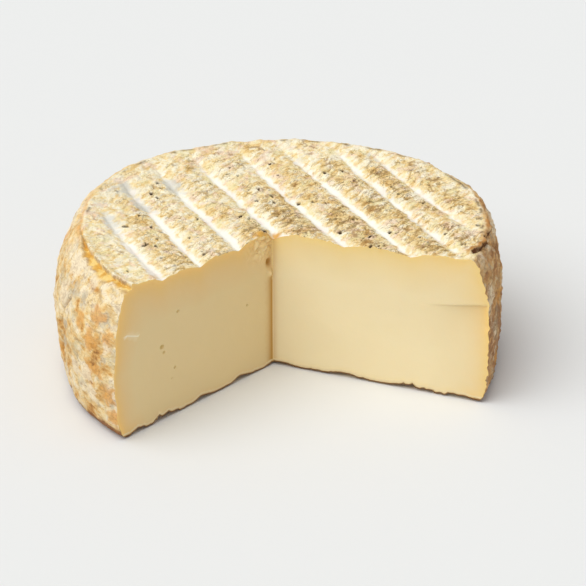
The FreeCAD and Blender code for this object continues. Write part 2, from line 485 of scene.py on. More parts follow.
def crackRelief():
    sunk = smooth(crackOut, -0.2, 0.45) * (1 - smooth(crackOut, 1.5, 8))
    groove = (0.4 + 0.4 * pocketShare) * bump(crackOut, 0.6, 0.6)
    curled = bump(crackOut, -1.0, 1.6) * (crackOut < 0.3) * (1 + 0.5 * noiseAt(rimLine, 3.0, 28))
    move = crackReach * (crack["curl"] * curled - crack["step"] * sunk - groove)
    return move - crack["branchDepth"] * bump(branchWay, 0, 0.85)


lipWander = 0.7 * noiseAt(rimLine, 5.0, 18, 2) + 0.35 * noiseAt(rimLine, 1.8, 19)
fromLip = past - lipWander * torn
ledgeWidth = 1.2 + lip["width"] * smooth(angle, 178, 194) * (1 - 0.4 * smooth(angle, 202, 208))
ledgeWidth += 1.3 * noiseAt(rimLine, 5.5, 17, 2) + 0.6 * noiseAt(rimLine, 1.7, 20)
bare = torn * smooth(fromLip, 0.0, 0.7) * (1 - smooth(fromLip - ledgeWidth, -0.5, 0.7))


def lipRelief():
    ledgeNoise = noiseAt(row(arc, past * 1.6), 3.2, 25, 2)
    move = 0.45 * torn * bump(fromLip, -1.0, 1.2)
    move += (0.4 + 0.5 * ledgeNoise) * torn * bump(fromLip - ledgeWidth, 1.4, 1.0)
    return move - (lip["depth"] + 0.5 * ledgeNoise) * bare * (1 - 0.45 * smooth(fromLip, 1, 4))


# A fold in the side on the left, and its flap. Each point is an angle and a height.
fold = {
    "line": ((191, 55), (187.5, 46), (186, 38), (187, 29), (183.5, 21)),
    "depth": 1.7,
    "width": 1.1,
    "flap": 1.0,
}

foldLine = np.array([(math.radians(a) * wheel["radius"], b) for a, b in fold["line"]])
foldSpots = np.stack([arc + 1.6 * noiseAt(form, 6.0, 29, 2), height], axis=1)
foldWay = distanceTo(foldSpots, foldLine) + 0.3 * noiseAt(form, 1.8, 30)


def foldRelief():
    flap = fold["flap"] * bump(angle, 183.2, 1.7) * bump(height, 38, 14)
    return (flap - fold["depth"] * bump(foldWay, 0, fold["width"])) * sideShare


# Slanting ribs that the cloth left on the bands of the top.
ribs = {
    "angle": 38.0,   # the way they run
    "pitch": 4.5,
    "depth": 0.55,
}


def ribShape():
    way = direction(ribs["angle"] + 90)
    wander = 0.8 * noiseAt(places, 11.0, 57) + 0.3 * noiseAt(places, 4.0, 58)
    part = ((form[:, :2] @ way) / ribs["pitch"] + wander) % 1
    scallop = smooth(part, 0.0, 0.28) * (1 - 0.65 * smooth(part, 0.35, 1))
    valley = bump(np.minimum(part, 1 - part), 0, 0.14)
    reach = smooth(noiseAt(places, 14.0, 59), -0.35, 0.15) * (1 - 0.45 * smooth(across, 62, 76))
    return reach * (scallop - 0.45), reach * valley


pitWarp = 1 + 0.55 * noiseAt(form, 1.3, 67)


# How far each point lies from every pit in turn, with the pit's size and depth.
def eachPit():
    for number, ((a, b), size, depth) in enumerate(zip(pitSpots, pitSizes, pitDepths)):
        lean = 0.3 * math.sin(2.4 * number)
        yield np.hypot((across - a) * (1 + lean), (along - b) * (1 - lean)) * pitWarp, size, depth


# Cells of the points that are on, with how far each lies from its cell's edge.
def cellsOn(on, spots, size, seed):
    gap, tone = np.zeros(len(form)), np.full(len(form), 0.5)
    gap[on], tone[on] = cellsAt(spots[on], size, seed)
    return gap, tone


topSkin = {
    "scales": 3.5,   # size of the wrinkled skin's scales
    "fineScales": 1.9,
    "scaleDepth": 0.8,
    "swell": 0.45,
}
share, known = bandShare(across, along)
ribMove, ribValleyShade = ribShape()


def topRelief():
    shape = furrowShape(across, along, furrows["steepBank"], furrows["softBank"])
    fade = smooth(-past, 0.5, furrows["margin"]) * 0.85 + 0.15 * smooth(-past, 0, 3)
    pillow = furrows["pillow"] * np.where(known, 1 - np.abs(2 * share - 1) ** 3, 0.0)
    depth = furrows["depth"] * (1 + 0.35 * noiseAt(places, 13.0, 7)) + furrows["pillow"] * 0.2
    body = pillow - depth * shape
    crust = 0.3 + 0.7 * np.where(known, smooth(share, 0.05, 0.45), 0.5) + 0.8 * noiseAt(places, 10.0, 54)
    crust = np.clip(crust, 0.12, 1.3) * (1 - 0.88 * shape)
    on = past < 6
    gap, tone = cellsOn(on, places, topSkin["scales"], 61)
    fineGap = cellsOn(on, places, topSkin["fineScales"], 65)[0]
    crumbs = 0.85 * smooth(gap, 0, 0.5) + 0.4 * smooth(fineGap, 0, 0.5) - 0.85
    swell = topSkin["swell"] * noiseAt(places, 9.0, 6, 2) + 0.18 * noiseAt(places, 1.7, 8)
    move = fade * body + topSkin["scaleDepth"] * crust * crumbs + (1 - 0.7 * shape) * swell
    move += (1 - 0.85 * shape) * ribs["depth"] * ribMove
    for near, size, depth in eachPit():
        move -= depth * smooth(size * 1.25 - near, 0, size * 0.8) * (near < 3)
        move += 0.25 * bump(near, size * 1.5, size * 0.5) * (near < 4)
    picked = smooth(noiseAt(places, 4.5, 68), 0.0, 0.4)
    # The scales' edges are painted darker where noise lets them: painted shade in the crevices, stronger on
    # the browner part of a band and towards the right.
    paintedShade = np.maximum(1 - smooth(gap, 0.02, 0.2), 0.7 * (1 - smooth(fineGap, 0.02, 0.2)))
    paintedShade *= picked * crust * on * (0.8 + 0.5 * smooth(-across, -5, 25))
    return move, shape * fade, tone, paintedShade


sideSkin = {
    "lumps": 0.9,
    "folds": 0.7,
    "wrinkles": 0.7,
    "scales": 4.6,   # size of the scales
    "scaleDepth": 0.4,
}
sideRough = 0.35 + 0.65 * (1 - smooth(np.abs(angle + 5), 35, 75))   # the right side is the roughest


def sideRelief():
    spots = row(arc, height * (0.7 + 1.3 * sideRough), distance * 0.3)
    lumps = sideSkin["lumps"] * noiseAt(spots, 27.0, 9) + 0.5 * noiseAt(spots, 10.0, 10, 2)
    folds = np.abs(noiseAt(spots, 8.0, 12, 2))
    wrinkles = np.abs(noiseAt(spots, 3.4, 13, 2))
    on = (past > -4) & (onBase < 0.9)
    gap, tone = cellsOn(on, spots, sideSkin["scales"], 71)
    crumbs = smooth(gap, 0, 0.55) - 0.7
    move = lumps + sideSkin["folds"] * (folds - 0.3) + 0.2 * noiseAt(spots, 1.9, 14)
    move += sideRough * (sideSkin["wrinkles"] * (wrinkles - 0.3) + sideSkin["scaleDepth"] * crumbs)
    # The scales' edges on the side are painted darker too: painted shade in the crevices.
    paintedShade = (1 - smooth(gap, 0.02, 0.2)) * smooth(noiseAt(spots, 6.0, 75), -0.05, 0.3) * on
    return move, folds, tone, paintedShade


def baseRelief():
    gap = np.abs(across - furrowCentres(along)).min(axis=0)
    rough = 0.35 * np.abs(noiseAt(places, 4.0, 15, 2)) + 0.3 * np.maximum(0, noiseAt(places, 14.0, 16))
    return -(furrows["baseDepth"] * bump(gap, 0, furrows["baseWidth"]) + rough)


# All relief is in millimetres along the normals of the plain form.
topMove, furrowMask, topTone, topGapShade = topRelief()
sideMove, folds, sideTone, sideGapShade = sideRelief()
relief = topShare * topMove + sideShare * sideMove + onBase * baseRelief()
relief += lipRelief() + crackRelief() + foldRelief()
relief -= wheel["pointDepth"] * bump(np.hypot(form[:, 0], form[:, 1]), 0, wheel["pointReach"]) * topShare
print("relief", round(relief.min(), 2), "to", round(relief.max(), 2))

normals = vertexNormals(form, rindFaces)
leftEdge = (sideIds[-1], topLeft, baseLeft, wheel["cutLeft"])
rightEdge = (sideIds[0], topRight, baseRight, wheel["cutRight"])
for rim, topLine, baseLine, cutAngle in (leftEdge, rightEdge):
    held = np.concatenate([rim, topLine, baseLine, topApex, baseApex])
    outwards = np.array([*direction(cutAngle + 90), 0.0])
    normals[held] -= (normals[held] @ outwards)[:, None] * outwards   # points of a cut face stay in it
placed = form + normals * relief[:, None]

# The base's edge stands a little off the floor along both cuts, ragged near its outer end.
baseEdge = {
    "lift": 0.4,
    "wander": 0.4,
    "rags": (0.35, 2.2),   # everywhere, and more near the outer end
    "ragsAt": (74, 11),
    "reach": 7,   # in from the cut
}
for cutAngle, seed in ((wheel["cutLeft"], 81), (wheel["cutRight"], 82)):
    out = form[:, :2] @ direction(cutAngle)
    aside = np.abs(form[:, :2] @ direction(cutAngle + 90))
    rags = baseEdge["rags"][0] + baseEdge["rags"][1] * bump(out, *baseEdge["ragsAt"])
    rags *= np.maximum(0, noiseAt(row(out), 1.9, seed + 4, 2) + 0.15)
    lift = baseEdge["lift"] + baseEdge["wander"] * noiseAt(row(out), 8.0, seed) + rags
    lift *= (1 - smooth(aside, 0, baseEdge["reach"])) * onBase
    placed[:, 2] += lift * smooth(out, 2, 6) * (1 - smooth(out, 84, 90))
placed[:, 2] = np.maximum(placed[:, 2], 0)

apexLine = np.linspace(placed[baseApex[0], 2], placed[topApex[0], 2], spacing["corner"])[1:-1]
apexIds = np.arange(len(placed), len(placed) + len(apexLine))
placed = np.concatenate([placed, row(apexLine * 0, 0, apexLine)])

# What the knife and the ripening left on the cut faces. Places are a distance from the point and a height.
cutMarks = {
    "eyes": ((68.4, 36.3, 1.3), (67.3, 33.2, 0.9), (58.4, 50.0, 0.9), (16.3, 36.7, 0.75), (61.0, 23.4, 0.8),
             (62.9, 18.7, 0.5)),   # and a radius
    "eyeDepth": 0.5,   # for each millimetre of radius
    "eyeRings": ((0, 1), (0.35, 6), (0.62, 11), (0.82, 16), (0.93, 20), (1.0, 22), (1.15, 22), (1.32, 18)),
    "nick": (1.9, 52.6),   # a hole beside the point
    "nickDepth": 2.4,
    "crumb": (1.7, 47.0),   # a crumb that hangs on below it
    "crumbHeight": 1.1,
    "scratch": ((88.5, 49.7), (82.6, 47.3)),
    "tear": (5.5, 7.0),   # where the torn paste lies, and its spread
    "tearFrom": (52, 62),   # the heights between which it begins
    "step": (92, 47.4),   # the step in the right face
    "stepSlope": 0.16,
    "stepDepth": 1.2,
    "torn": (17, 44),   # the torn part lies nearer and higher than this
}
scratchLine = np.array(cutMarks["scratch"])


def stepHeight(x):
    middle, height = cutMarks["step"]
    return height + cutMarks["stepSlope"] * (x - middle) + 0.35 * noiseAt(row(x), 6.0, 36)


def outlineRows(loop):
    area = (loop[:, 0] * np.roll(loop[:, 1], -1) - np.roll(loop[:, 0], -1) * loop[:, 1]).sum()
    way = np.roll(loop, -1, axis=0) - np.roll(loop, 1, axis=0)
    inward = np.stack([-way[:, 1], way[:, 0]], axis=1) * math.copysign(1, area)
    inward /= np.linalg.norm(inward, axis=1, keepdims=True)
    rows = []
    for number, depth in enumerate(spacing["cutRows"]):
        spots = (loop + inward * depth)[number % 2::2 if number > 2 else 1]
        rows.append(spots[(distanceTo(spots, closedLine(loop)) > 0.85 * depth) & inside(spots, loop)])
    return np.concatenate(rows)


def stepSpots(loop, border, wide):
    x = np.arange(66, 98, 0.8)
    rises = (-0.9, -0.4, 0, 0.4, 0.9)
    lines = np.concatenate([np.stack([x, stepHeight(x) + rise], axis=1) for rise in rises])
    lines = lines[inside(lines, loop) & (distanceTo(lines, closedLine(loop)) > 3.4)]
    return np.concatenate([border, wide[np.abs(wide[:, 1] - stepHeight(wide[:, 0])) > 1.6], lines])


def tornSpots(loop, border, wide):
    fine = lattice(loop, spacing["torn"])
    reach, low = cutMarks["torn"]
    fine = fine[(fine[:, 0] < reach) & (fine[:, 1] > low)]
    scratch = scratchLine[0] + (scratchLine[1] - scratchLine[0]) * np.linspace(0, 1, 12)[:, None]
    wide = wide[distanceTo(wide, scratchLine) > 1.3]
    spots = np.concatenate([border, wide, scratch, scratch + (0.1, 0.45), scratch - (0.1, 0.45)])
    spots = np.concatenate([spots[(spots[:, 0] > reach + 0.4) | (spots[:, 1] < low - 0.4)], fine])
    for x, z, radius in cutMarks["eyes"]:
        spots = spots[np.hypot(spots[:, 0] - x, spots[:, 1] - z) > radius * 1.5]
        for share, number in cutMarks["eyeRings"]:
            turn = np.arange(number) * 2 * math.pi / number + share
            ring = np.stack([x + radius * share * np.cos(turn), z + radius * share * np.sin(turn)], axis=1)
            spots = np.concatenate([spots, ring])
    return spots


def cutPlan(spots, cutAngle):
    return np.stack([spots[:, :2] @ direction(cutAngle), spots[:, 2]], axis=1)


# A cut face is filled in its own plane. Beside its faces this gives the points there, how deep each lies
# below the rind, and how far it may be pushed out.
def fillCut(rim, topLine, baseLine, cutAngle, chooseSpots):
    loopIds = np.concatenate([rim, topLine, topApex, apexIds[::-1], baseApex, baseLine[::-1]])
    loop = cutPlan(placed[loopIds], cutAngle)
    wide = lattice(loop, spacing["cut"])
    wide = wide[distanceTo(wide, closedLine(loop)) > spacing["cutRows"][-1] + 0.8]
    inner = chooseSpots(loop, outlineRows(loop), wide)
    innerIds = np.arange(len(placed), len(placed) + len(inner))
    faces = np.concatenate([loopIds, innerIds])[fill(loop, inner)]
    deep = distanceTo(inner, loop[:len(rim) + len(topLine)])
    deep = np.minimum(deep, 4 + 2.0 * distanceTo(inner, loop[-len(baseLine) - 1:]))
    calm = smooth(distanceTo(inner, closedLine(loop)), 0, 2.5) * smooth(inner[:, 0], 0, 2.0)
    return faces, innerIds, inner, deep, calm


def grain(flat, swell, size, seeds):
    streaks = 0.04 * noiseAt(flat * (0.3, 1, 1), 2.5, seeds[2], 2)
    return swell * noiseAt(flat, size, seeds[0]) + 0.1 * noiseAt(flat, 6.0, seeds[1], 2) + streaks


def pushOut(plan, cutAngle, outwards, push):
    flat = plan[:, :1] * direction(cutAngle) + push[:, None] * direction(cutAngle + outwards)
    return np.concatenate([placed, row(flat[:, 0], flat[:, 1], plan[:, 1])])


leftFaces, leftInner, leftPlan, leftDeep, leftCalm = fillCut(*leftEdge, tornSpots)
leftX, leftZ = leftPlan.T
leftFlat = row(leftX, leftZ)
tear = bump(leftX, *cutMarks["tear"]) * smooth(leftZ, *cutMarks["tearFrom"])
nick = blob(leftPlan, cutMarks["nick"], (1.5, 1.9))
tornGap, tornTone = cellsAt(leftFlat, 3.0, 33)
scratchWay = distanceTo(leftPlan, scratchLine)


def leftPush():
    push = leftCalm * grain(leftFlat, 0.3, 20.0, (31, 37, 32))
    tornMove = 0.7 * noiseAt(leftFlat, 4.5, 38, 2) + 0.25 * noiseAt(leftFlat, 1.4, 39)
    tornMove += 1.5 * smooth(tornGap, 0, 0.5) - 1.35
    push += tear * smooth(leftDeep, 0, 1.2) * smooth(leftX, 0, 1.0) * tornMove
    push -= cutMarks["nickDepth"] * nick * smooth(leftX, 0, 0.8)
    push += cutMarks["crumbHeight"] * blob(leftPlan, cutMarks["crumb"], (1.0, 1.3))
    return push + 0.1 * bump(scratchWay, 0, 0.35)


def eyeShape():
    deep, rim = np.zeros(len(leftPlan)), np.zeros(len(leftPlan))
    for x, z, radius in cutMarks["eyes"]:
        near = np.hypot(leftX - x, (leftZ - z) * 1.12) / radius + 0.22 * noiseAt(leftFlat, 1.3, 40)
        deep += np.where(near < 1, cutMarks["eyeDepth"] * radius * np.sqrt(np.clip(1 - near ** 2, 0, 1)), 0)
        rim += 0.6 * bump(near, 1.2, 0.25)
    return deep, rim


eyeDeep, eyeRim = eyeShape()
placed = pushOut(leftPlan, wheel["cutLeft"], 90, leftPush() + 0.12 * eyeRim - eyeDeep)

rightFaces, rightInner, rightPlan, rightDeep, rightCalm = fillCut(*rightEdge, stepSpots)
rightX, rightZ = rightPlan.T
belowStep = stepHeight(rightX) - rightZ


def rightPush():
    below = smooth(belowStep, -0.35, 0.35) * smooth(rightX, 70, 90)
    plain = grain(row(rightX, rightZ), 0.25, 16.0, (34, 42, 35))
    return rightCalm * (plain - cutMarks["stepDepth"] * below * smooth(rightZ, 18, 44))


placed = pushOut(rightPlan, wheel["cutRight"], -90, rightPush())
print("cut faces", len(leftFaces), len(rightFaces))

# One closed mesh of all faces.
shift = np.array([*wheel["cutPoint"], 0.0])
triangles = np.concatenate([topFaces, baseFaces, leftFaces[:, ::-1], rightFaces])
faceList = triangles.tolist() + quads.tolist()
mesh = bpy.data.meshes.new("tommeWheel")
mesh.from_pydata(((placed + shift) / 1000).tolist(), [], faceList)
mesh.polygons.foreach_set("use_smooth", np.ones(len(faceList), bool))
piece = bpy.data.objects.new("tommeWheel", mesh)
bpy.context.scene.collection.objects.link(piece)

shaped = bmesh.new()
shaped.from_mesh(mesh)
shaped.faces.ensure_lookup_table()
for face in shaped.faces[len(topFaces) + len(baseFaces):len(triangles)]:
    face.material_index = 1
corner = {*apexIds.tolist(), int(topApex[0]), int(baseApex[0])}
openEdges = 0
for edge in shaped.edges:
    near = edge.link_faces
    openEdges += len(near) != 2
    inCorner = edge.verts[0].index in corner and edge.verts[1].index in corner
    edge.smooth = near[0].material_index == near[-1].material_index and not inCorner
print("open edges", openEdges, "volume ml", round(shaped.calc_volume() * 1e6, 1), "faces", len(shaped.faces))
shaped.to_mesh(mesh)
shaped.free()

# How the surface lies flat: where each part's own zero lies, and the part's scale.
sheet = {
    "size": 440.0,
    "top": (107, 190, 1.25),
    "base": (350, 170, 0.85),
    "left": (3, 308, 1.25),
    "right": (140, 308, 1.25),
    "side": (220, 2, 0.985),
}


def layFlat():
    plans = np.zeros((5, len(placed), 2))
    plans[0] = placed[:, :2]
    plans[1] = placed[:, :2] * (-1, 1)
    plans[2] = cutPlan(placed, wheel["cutLeft"])
    plans[3] = cutPlan(placed, wheel["cutRight"])
    plans[4, :len(form), 0] = arc - (arc[sideIds].min() + arc[sideIds].max()) / 2
    plans[4, :len(form), 1] = past[sideIds].max() - past
    corners = np.concatenate([triangles.ravel(), quads.ravel()])
    part = np.repeat(range(5), [faces.size for faces in (topFaces, baseFaces, leftFaces, rightFaces, quads)])
    for number, name in enumerate(("top", "base", "left", "right", "side")):
        x, y, scale = sheet[name]
        plans[number] = (plans[number] * scale + (x, y)) / sheet["size"]
        spots = plans[number][corners[part == number]]
        print("flat", name, spots.min(axis=0).round(3), spots.max(axis=0).round(3))
    flat = mesh.uv_layers.new(name="OFBake")
    flat.data.foreach_set("uv", plans[part, corners].ravel().astype(np.float32))


layFlat()


# The mesh keeps where the colours lie.
def keepOnMesh(name, onRind, onLeft=0, onRight=0):
    values = np.zeros(len(placed))
    values[:len(form)] = onRind
    values[leftInner] = onLeft
    values[rightInner] = onRight
    mesh.attributes.new(name, "FLOAT", "POINT").data.foreach_set("value", values.astype(np.float32))


# White bloom lies in the furrows. Its edge is hard on a furrow's left and soft on its right.
bloomWidth = {
    "soft": 4.3,
    "softLess": 1.0,   # on the wheel's right half
    "hard": 2.4,
    "hardMore": 3.6,   # far on the left
    "uneven": 0.75,
}


def furrowBloom():
    gap = furrowGap(across, along)
    soft = bloomWidth["soft"] - bloomWidth["softLess"] * smooth(-across, -12, 18)
    hard = bloomWidth["hard"] + bloomWidth["hardMore"] * smooth(across, 45, 72)
    spread = np.where(gap > 0, 1 - smooth(gap / hard, 0.2, 1.0), 1 - smooth(-gap / soft, 0.03, 1.0))
    strength = np.array(furrows["white"])[:, None]
    uneven = bloomWidth["uneven"] * noiseAt(row(across, along * 0.6), 6.0, 55, 2)
    fading = (1 - 0.5 * smooth(along, 25, 85)) * np.clip(1 + uneven, 0.4, 1.12)
    return (strength * spread).max(axis=0) * fading * smooth(-past, 1, 12) * topShare


# Each band is painted browner towards its right, where its bank turns away from the lamp: partly the crust's
# browner colour, partly painted shade.
def bandBrown():
    amount = np.array(furrows["brown"])[(furrowCentres(along) > across).sum(axis=0)]
    amount = amount * (1 + 0.4 * smooth(-along, -20, 15)) * (1 - 0.8 * smooth(along, 28, 60))
    amount *= np.clip(1 + 1.6 * noiseAt(places, 15.0, 60, 2), 0.25, 1.8)
    spread = np.where(known, smooth(share, 0.08, 0.4) * (1 - 0.25 * smooth(share, 0.8, 1)), 0.6)
    return np.clip(amount * spread, -0.3, 1.4) * (1 - bloom) * topShare


bloom = furrowBloom()
keepOnMesh("bloom", bloom)
keepOnMesh("brown", bandBrown())
keepOnMesh("side", smooth(past, -1.0, 4.0))
# Painted shade in the crevices between the scales of the top and the side.
keepOnMesh("gapShade", topShare * topGapShade + sideShare * sideGapShade * (0.35 + 0.65 * sideRough))
keepOnMesh("lumpTone", topShare * topTone + sideShare * sideTone)
# The ribs are painted lighter on their crests and on the long slopes that face the lamp, darker towards their
# valleys, and darker still in the valleys: painted light and shade.
keepOnMesh("ribLightAndShade", topShare * ribMove * (1 - 0.8 * bloom))
keepOnMesh("ribShadeLine", topShare * ribValleyShade * (1 - bloom))
# The pits are painted nearly black: painted shade in their hollows.
pitShadeMask = np.zeros(len(form))
for near, size, depth in eachPit():
    pitShadeMask = np.maximum(pitShadeMask, smooth(size * 1.25 - near, 0, size * 0.6))
keepOnMesh("pitShade", pitShadeMask * topShare)

# The crack, the lip and the rim.
# The crack and its branch are painted dark brown: painted shade in them.
spots = 0.6 + 0.4 * np.clip(pocketShare + bump(angle, -11, 4) + bump(angle, -17.5, 2), 0, 1)
crackWidth = 0.3 + 0.13 * pocketShare * smooth(angle, -32, -26)
crackShadeAmount = crackReach * spots * bump(crackOut, 0.2, crackWidth)
crackShadeAmount += (0.35 + 0.4 * smooth(noiseAt(form, 3.0, 56), -0.2, 0.2)) * bump(branchWay, 0, 0.7)
keepOnMesh("crackShade", np.clip(crackShadeAmount, 0, 1))
keepOnMesh("rust", crackReach * (0.5 + 0.5 * pocketShare) * bump(crackOut, -1.2, 1.3) * (crackOut < 0.6))
rimGate = smooth(noiseAt(rimLine, 7.0, 46, 2), -0.1, 0.25) * (1 - smooth(angle, 160, 172))
keepOnMesh("rimDark", rimGate * bump(past + 0.6 * noiseAt(rimLine, 2.5, 47), 0.2, 0.8) * (1 - onBase))
keepOnMesh("bare", bare)
# Dark lines along both edges of the bare ledge, under the torn lip and where the ledge rises to the rind
# again: painted shade.
broken = smooth(noiseAt(rimLine, 4.0, 26, 2), -0.25, 0.2)
upperLine = 0.8 * bump(fromLip, 0.2, 0.3) * (0.25 + 0.75 * broken)
lowerLine = 0.5 * bump(fromLip - ledgeWidth, 0.3, 0.4) * (1 - broken)
keepOnMesh("lipShadeLine", torn * (upperLine + lowerLine))

# The side. Its patches are placed by angle, height and size on the left, and spread by noise elsewhere.
patches = {
    "orange": (
        (205, 57, 5), (203.5, 45, 6), (209.5, 49, 4), (199, 50, 4), (206.6, 31, 4), (203, 31.5, 3.5),
        (210.5, 21, 6), (211, 12, 5.5), (184, 22, 5),
    ),
    "grey": ((192.6, 59.5, 5), (198, 60, 3.5), (207.5, 56, 4), (208, 38, 3), (190, 40, 3.5), (190, 33, 3)),
    "pale": (
        (201, 26, 5.5), (195.5, 25.5, 5), (203.5, 20.5, 5), (209.5, 43.5, 3), (212.3, 20.7, 2),
        (188, 68, 8), (200, 66.5, 5.5), (186, 52, 6), (188, 14, 7),
    ),
    "size": {"orange": 15, "grey": 19, "pale": 24},   # of those that noise spreads
    "amount": {"orange": 0.8, "grey": 0.6, "pale": 0.8},
    "seed": {"orange": 91, "grey": 92, "pale": 93},
}
flatSide = row(arc, height * 1.25)
patchWander = 3.4 * noiseAt(flatSide, 5.5, 43, 3) + 1.5 * noiseAt(flatSide, 2.2, 44)


# Spots are two places, a size and a strength.
def spotted(x, y, spots, wander, low, high):
    amount = np.zeros(len(form))
    for a, b, size, strength in spots:
        away = np.hypot(x - a, y - b) + wander
        amount = np.maximum(amount, strength * (1 - smooth(away, size * low, size * high)))
    return amount


def sidePatches(kind):
    wild = smooth(noiseAt(flatSide, patches["size"][kind], patches["seed"][kind], 4), 0.1, 0.55)
    wild *= (1 - smooth(angle, 170, 184)) * patches["amount"][kind]
    spots = [(math.radians(a) * wheel["radius"], b, size, 1.0) for a, b, size in patches[kind]]
    amount = np.maximum(wild, spotted(arc, height, spots, patchWander, 0.5, 1.3))
    return amount * smooth(past, 3, 6) * (1 - onBase)


# The side's creases and the groove of the fold are painted brown: painted shade in them.
sideCreaseShadeAmount = smooth(0.3 - folds, 0.1, 0.3) * (0.2 + 0.4 * sideRough) + bump(foldWay, 0, 0.8)
keepOnMesh("sideCreaseShade", np.clip(sideCreaseShadeAmount, 0, 1) * sideShare)
# The side is painted darker on the right, and more so lower down: painted shade, partly also the rind's
# browner colour there.
keepOnMesh("shade", smooth(angle, 60, -10) * (1 + 0.5 * smooth(45 - height, 0, 30)) * sideShare)
rimGold = bump(past + patchWander * 0.4, 2.0, 2.6) * smooth(angle, 138, 156) * (1 - smooth(angle, 176, 188))
keepOnMesh("orange", np.maximum(sidePatches("orange"), 0.75 * rimGold))
for kind in ("grey", "pale"):
    keepOnMesh(kind, sidePatches(kind))
keepOnMesh("flankTone", 0.66 + 0.14 * smooth(height, 46, 64) - 0.05 * bump(height, 40, 12))
# A brown band round the foot of the side: the rind's brown there, partly painted shade under the rounded
# lower edge.
footTop = 5.4 + 1.6 * noiseAt(rimLine, 6.0, 45, 2) + 2.6 * noiseAt(rimLine, 24.0, 53)
footTop += 1.3 * noiseAt(flatSide, 2.6, 50) + 1.2 * bump(angle, 206, 9)
keepOnMesh("foot", smooth(footTop - height, -0.8, 4.2) * np.where(onBase > 0.97, 0.45, 1.0) * (past > 0))

# Grey mould on the top: across, along, size and strength.
mouldSpots = (
    (50, 66, 9, 1.0), (46, 48, 6, 1.0), (26.5, 61, 6, 1.0), (67, 38, 7, 0.8), (64, 54, 6, 0.7),
    (-70, 49, 6, 0.6), (-59, 10, 5, 0.55), (-38, 60, 4, 0.5), (-63, 18, 4, 0.4),
)
longSpots = [(a, b * 0.6, size, strength) for a, b, size, strength in mouldSpots]
mouldWander = 3.0 * noiseAt(places, 6.0, 41, 3) + 1.5 * noiseAt(places, 2.4, 49)
mould = spotted(across, along * 0.6, longSpots, mouldWander, 0.3, 1.3)
keepOnMesh("mould", mould * (0.6 + 0.4 * smooth(furrowMask, 0.1, 0.6)) * topShare)

# Wax and fresh paste near the point, and the cut faces. The amber band along the corner where the cut faces
# meet, stronger lower down and fainter on the right face, and the nick beside the point are painted shade;
# the golden torn paste among them is its own colour.
waxSpots = ((-5.8, -2.4, 3.3, 0.9), (1.8, 0.4, 1.9, 0.9), (-1.2, 0.2, 1.8, 0.9))
topWax = spotted(form[:, 0], form[:, 1], waxSpots, 1.2 * noiseAt(places, 1.8, 48), 0.3, 1.6) * topShare
leftAmberAndShade = (0.3 + 0.7 * smooth(52 - leftZ, 0, 9)) * bump(leftX, 0, 2.7)
leftAmberAndShade += 0.2 * tear * smooth(tornTone, 0.3, 0.8) + nick
keepOnMesh("waxAndShade", topWax, np.clip(leftAmberAndShade, 0, 1), 0.4 * bump(rightX, 0, 2.0))
fresh = tear * (0.4 + 0.8 * smooth(0.75 - tornTone, 0, 0.4))
fresh += 0.8 * blob(leftPlan, cutMarks["crumb"], (1.1, 1.4))
keepOnMesh("fresh", 0, np.clip(fresh, 0, 1))
keepOnMesh("scratch", 0, bump(scratchWay, 0, 0.32))
# The eyes are painted darker olive, more so where deeper: painted shade in their hollows.
keepOnMesh("eye", 0, np.clip(eyeDeep * 1.5, 0, 1))


def aboveLine(plan, line, cutAngle):
    edge = cutPlan(placed[line], cutAngle)
    edge = edge[np.argsort(edge[:, 0])]
    return plan[:, 1] - np.interp(plan[:, 0], *edge.T)


# Heights above the base's edge, and drops below the top's.
leftFoot = aboveLine(leftPlan, baseLeft, wheel["cutLeft"])
rightFoot = aboveLine(rightPlan, baseRight, wheel["cutRight"])
leftDrop = -aboveLine(leftPlan, topLeft, wheel["cutLeft"])
rightDrop = -aboveLine(rightPlan, topRight, wheel["cutRight"])
keepOnMesh("skinLine", 0, bump(leftFoot, 1.35, 0.55), bump(rightFoot, 1.35, 0.55))
# Along the base's edge the cut faces are painted dark brown: the rind's own brown, partly painted shade of
# the gap under the lifted edge.
leftCrustShade, rightCrustShade = (1 - smooth(foot, 0.35, 1.0) for foot in (leftFoot, rightFoot))
keepOnMesh("crustShadeLine", 1 - smooth(height, 2, 12), leftCrustShade, rightCrustShade)
leftRipe = leftDeep * (1 + 0.9 * smooth(leftDrop, 12, 40))
rightRipe = rightDeep * (1 + 0.9 * smooth(rightDrop, 12, 40))
keepOnMesh("rindDepth", 0, leftRipe, rightRipe)
# The left cut face, and on the right face the band below the step, take the darker golden tones: partly the
# paste's golden colour, partly painted shade. Near its outer edge the right face is golden of its own.
lowerBand = smooth(belowStep, -0.3, 0.6) * smooth(rightX, 70, 92)
outerPart = smooth(rightX, 45, 85) * smooth(rightZ, 20, 45)
keepOnMesh("goldAndShade", 0.8, 1.0, 0.12 + 0.25 * outerPart + 0.35 * lowerBand)
print("colours placed")


def colour(*tones):
    return tuple(((c / 255 + 0.055) / 1.055) ** 2.4 if c > 10 else c / 3294 for c in tones) + (1.0,)


def put(tree, kind, inputs=None, **settings):
    made = tree.nodes.new(kind)
    for name, value in settings.items():
        setattr(made, name, value)
    for name, value in (inputs or {}).items():
        socket = made.inputs[name]
        if isinstance(value, bpy.types.NodeSocket):
            tree.links.new(value, socket)
        else:
            socket.default_value = value
    return made


# Each layer is an amount and a colour. These functions add nodes to the tree of the sockets they are given.
def layered(base, layers):
    for amount, shade in layers:
        made = put(amount.id_data, "ShaderNodeMix", {0: amount, 6: base, 7: shade}, data_type="RGBA")
        base = made.outputs[2]
    return base


def window(value, low, high, top=1.0, bottom=0.0):
    inputs = {"Value": value, "From Min": low, "From Max": high, "To Min": bottom, "To Max": top}
    return put(value.id_data, "ShaderNodeMapRange", inputs, interpolation_type="SMOOTHSTEP").outputs[0]


